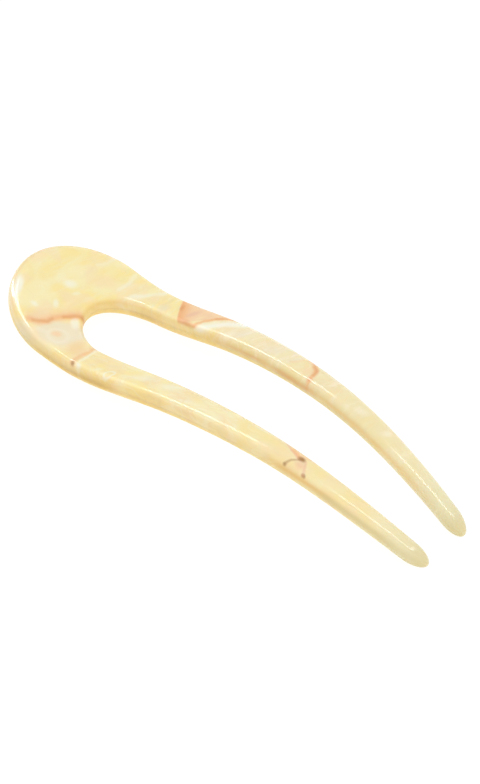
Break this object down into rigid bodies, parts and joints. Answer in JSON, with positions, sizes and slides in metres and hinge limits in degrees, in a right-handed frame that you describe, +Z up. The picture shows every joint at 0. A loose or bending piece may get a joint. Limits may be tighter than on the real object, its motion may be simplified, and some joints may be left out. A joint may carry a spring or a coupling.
{
  "type": "french hair pin",
  "caption": "U-shaped hair pin of marbled acetate with a flared round head, an arched body, an open slot and rounded, tapering prongs.",
  "frame": {"origin": "middle of the base of the pin's box, on the surface that the pin lies on", "axes": "+X from the head end to the tips, +Y across the two prongs, +Z up"},
  "size_m": [0.1264, 0.0322, 0.0139],
  "materials": {
    "marbled_acetate": "polished, marbled cream, ivory and peach with fine brown veins"
  },
  "bodies": {
    "root": {"hair_pin": "marbled_acetate"}
  },
  "joints": []
}
